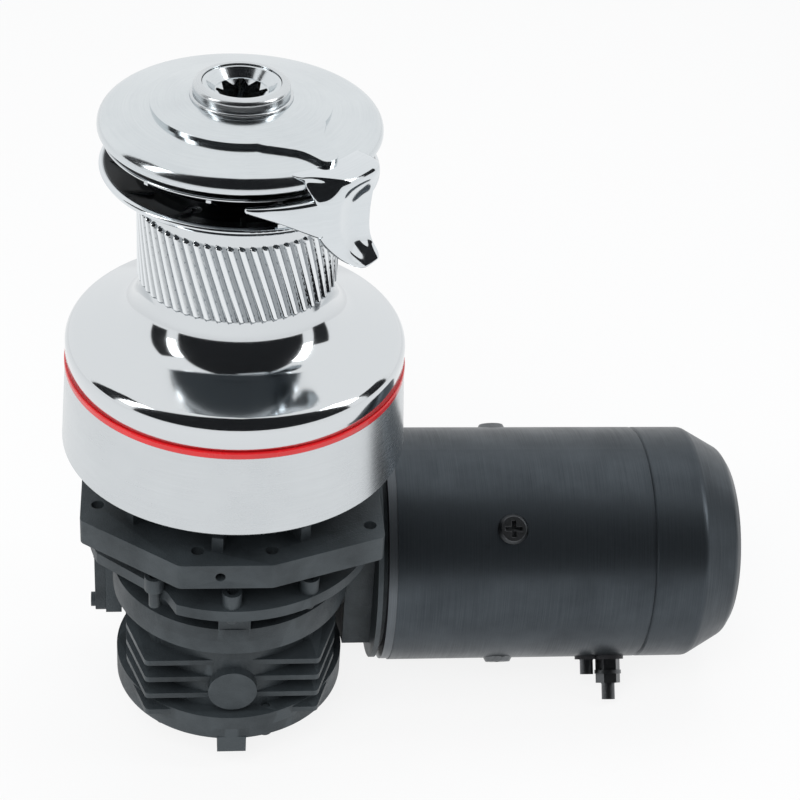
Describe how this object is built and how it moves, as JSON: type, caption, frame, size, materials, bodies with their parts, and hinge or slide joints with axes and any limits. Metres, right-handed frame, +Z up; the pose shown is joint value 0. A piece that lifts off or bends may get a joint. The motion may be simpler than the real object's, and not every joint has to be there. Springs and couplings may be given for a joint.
{
  "type": "electric self-tailing winch",
  "caption": "Chromed self-tailing deck winch with ribbed drum, line guide, star handle socket, and a worm gearbox with a horizontal electric motor below the deck.",
  "frame": {"origin": "On the drum's axis at deck level, the underside of the base plate, centre of the deck bolt circle.", "axes": "+Z up along the drum's axis; +X along the motor's axis, away from the gearbox; +Y towards the back, where the motor's axis lies."},
  "size_m": [0.386, 0.2045, 0.3938],
  "materials": {
    "chrome": "polished chrome",
    "trim_red": "glossy red enamel",
    "alloy": "machined",
    "cast_dark": "dark hard-anodised casting, matte",
    "motor_dark": "dark satin, brushed round",
    "steel": "machined",
    "bronze": "machined bronze",
    "magnet": "sintered, dark grey",
    "winding": "laminated core with varnished copper winding",
    "brush": "carbon",
    "insulator": "moulded insulator",
    "seal": "moulded rubber"
  },
  "bodies": {
    "stand": {"base_plate": "alloy", "gear_housing": "alloy", "skirt_ring": "chrome", "trim_ring": "trim_red", "gear_pins": "steel", "base_screws": "steel", "spindle_bushes": "bronze", "tailing_arm": "chrome", "line_stripper": "chrome", "stripper_screws": "steel", "tail_cover": "chrome", "socket_collar": "chrome", "gearbox_top": "cast_dark", "gearbox_lid": "cast_dark", "hub_bolts": "steel", "gearbox_body": "cast_dark", "bottom_cover": "cast_dark", "gearbox_screws": "steel", "worm_end_cover": "cast_dark", "wheel_bushes": "bronze", "shaft_seal": "seal", "worm_bearing_outers": "steel", "motor_adapter": "cast_dark", "motor_front_ring": "motor_dark", "motor_yoke": "motor_dark", "motor_magnets": "magnet", "motor_end_cap": "motor_dark", "pole_screws": "steel", "brush_holder": "insulator", "brushes": "brush", "terminal_studs": "bronze", "terminal_nuts": "steel", "terminal_insulators": "insulator"},
    "drum": {"drum": "chrome", "ring_gear": "bronze", "lower_jaw": "chrome", "jaw_retainer": "alloy", "jaw_screws": "steel", "jaw_springs": "steel"},
    "upper_jaw": {"upper_jaw": "chrome"},
    "roller_set": {"bearing_rollers": "steel", "bearing_cages": "insulator"},
    "spindle": {"spindle": "steel", "high_pawl_springs": "steel", "drive_shaft": "steel", "worm_wheel": "bronze"},
    "high_pawl_left": {"high_pawl_left": "steel"},
    "high_pawl_right": {"high_pawl_right": "steel"},
    "gear_high": {"gear_high": "steel"},
    "planet_high": {"planet_high": "steel"},
    "idler_low": {"idler_low": "steel"},
    "lay_gear": {"lay_gear_low": "steel", "pinion_low": "steel", "low_pawl_springs": "steel"},
    "low_pawl_left": {"low_pawl_left": "steel"},
    "low_pawl_right": {"low_pawl_right": "steel"},
    "motor_shaft": {"worm_shaft": "steel", "armature": "winding", "worm_bearing_inners": "steel"},
    "worm_balls": {"worm_bearing_balls": "steel"}
  },
  "joints": [
    {"name": "motor_spin", "type": "hinge", "parent": "stand", "child": "motor_shaft", "pos_m": [0, 0.045, -0.1153], "axis": [1, 0, 0], "continuous": true},
    {"name": "drum_spin", "type": "hinge", "parent": "stand", "child": "drum", "pos_m": [0, 0, 0], "axis": [0, 0, 1], "continuous": true},
    {"name": "spindle_spin", "type": "hinge", "parent": "stand", "child": "spindle", "pos_m": [0, 0, 0], "axis": [0, 0, 1], "continuous": true},
    {"name": "gear_high_spin", "type": "hinge", "parent": "stand", "child": "gear_high", "pos_m": [0, 0, 0], "axis": [0, 0, 1], "continuous": true},
    {"name": "planet_high_spin", "type": "hinge", "parent": "stand", "child": "planet_high", "pos_m": [-0.04511, -0.01642, 0], "axis": [0, 0, 1], "continuous": true},
    {"name": "idler_low_spin", "type": "hinge", "parent": "stand", "child": "idler_low", "pos_m": [0.00787, 0.03102, 0], "axis": [0, 0, 1], "continuous": true},
    {"name": "lay_gear_spin", "type": "hinge", "parent": "stand", "child": "lay_gear", "pos_m": [0.04511, 0.01642, 0], "axis": [0, 0, 1], "continuous": true},
    {"name": "roller_set_spin", "type": "hinge", "parent": "stand", "child": "roller_set", "pos_m": [0, 0, 0], "axis": [0, 0, 1], "continuous": true},
    {"name": "worm_balls_spin", "type": "hinge", "parent": "stand", "child": "worm_balls", "pos_m": [0, 0.045, -0.1153], "axis": [1, 0, 0], "continuous": true},
    {"name": "upper_jaw_travel", "type": "slide", "parent": "drum", "child": "upper_jaw", "axis": [0, 0, 1], "range_m": [0, 0.003], "stiffness_N_per_m": 3000, "springref_m": -0.002, "deforming": ["jaw_springs"]},
    {"name": "high_pawl_left_swing", "type": "hinge", "parent": "spindle", "child": "high_pawl_left", "pos_m": [0.018, 0, 0.044], "axis": [0, 0, -1], "range_deg": [0, 20]},
    {"name": "high_pawl_right_swing", "type": "hinge", "parent": "spindle", "child": "high_pawl_right", "pos_m": [-0.018, 0, 0.044], "axis": [0, 0, -1], "range_deg": [0, 20]},
    {"name": "low_pawl_left_swing", "type": "hinge", "parent": "lay_gear", "child": "low_pawl_left", "pos_m": [0.05531, 0.01642, 0.019], "axis": [0, 0, 1], "range_deg": [0, 20], "stiffness_Nm_per_rad": 0.02, "springref_deg": -20.05},
    {"name": "low_pawl_right_swing", "type": "hinge", "parent": "lay_gear", "child": "low_pawl_right", "pos_m": [0.03491, 0.01642, 0.019], "axis": [0, 0, 1], "range_deg": [0, 20], "stiffness_Nm_per_rad": 0.02, "springref_deg": -20.05}
  ],
  "couplings": [
    {"joint": "drum_spin", "follows": "motor_spin", "ratio": 0.004902},
    {"joint": "spindle_spin", "follows": "motor_spin", "ratio": 0.029412},
    {"joint": "gear_high_spin", "follows": "motor_spin", "ratio": -0.0098039},
    {"joint": "planet_high_spin", "follows": "motor_spin", "ratio": 0.019608},
    {"joint": "idler_low_spin", "follows": "motor_spin", "ratio": -0.029412},
    {"joint": "lay_gear_spin", "follows": "motor_spin", "ratio": 0.019608},
    {"joint": "roller_set_spin", "follows": "motor_spin", "ratio": 0.0026497},
    {"joint": "worm_balls_spin", "follows": "motor_spin", "ratio": 0.39388}
  ]
}
